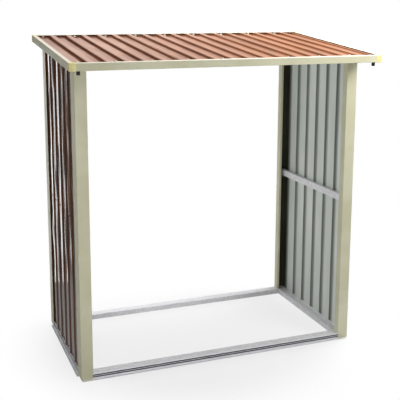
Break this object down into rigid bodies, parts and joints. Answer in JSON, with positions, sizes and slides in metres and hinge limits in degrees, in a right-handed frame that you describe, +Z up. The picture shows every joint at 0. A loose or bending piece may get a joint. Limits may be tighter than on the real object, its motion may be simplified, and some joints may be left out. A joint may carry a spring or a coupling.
{
  "type": "log store",
  "caption": "Open-fronted steel log store: ribbed brown side walls and lean-to roof on folded beige corner posts with galvanised base rails, open front and back.",
  "frame": {"origin": "on the ground, under the middle of the roof", "axes": "+X to the right seen from the front, +Y to the back, +Z up"},
  "size_m": [1.72, 1.03, 1.7737],
  "materials": {
    "sheet_brown": "brown gloss paint on ribbed sheet, pale grey back coat inside",
    "trim_beige": "beige satin paint",
    "galvanised": "bright zinc with a faint spangle",
    "cap_plastic": "pale yellow moulded plastic",
    "spout_plastic": "black moulded plastic"
  },
  "bodies": {
    "root": {"roof_sheet_left": "sheet_brown", "roof_sheet_middle": "sheet_brown", "roof_sheet_right": "sheet_brown", "wall_sheet_left_front": "sheet_brown", "wall_sheet_left_back": "sheet_brown", "wall_sheet_right_front": "sheet_brown", "wall_sheet_right_back": "sheet_brown", "post_front_left": "trim_beige", "post_front_right": "trim_beige", "post_back_left": "trim_beige", "post_back_right": "trim_beige", "roof_rail_front": "trim_beige", "roof_rail_back": "trim_beige", "roof_rail_left": "trim_beige", "roof_rail_right": "trim_beige", "base_rail_front": "galvanised", "base_rail_back": "galvanised", "base_rail_left": "galvanised", "base_rail_right": "galvanised", "mid_rail_left": "galvanised", "mid_rail_right": "galvanised", "top_rail_left": "galvanised", "top_rail_right": "galvanised", "front_beam": "galvanised", "back_beam": "galvanised", "roof_purlin": "galvanised", "corner_cap_front_left": "cap_plastic", "corner_cap_front_right": "cap_plastic", "corner_cap_back_left": "cap_plastic", "corner_cap_back_right": "cap_plastic", "drain_spout_left": "spout_plastic", "drain_spout_right": "spout_plastic"}
  },
  "joints": []
}
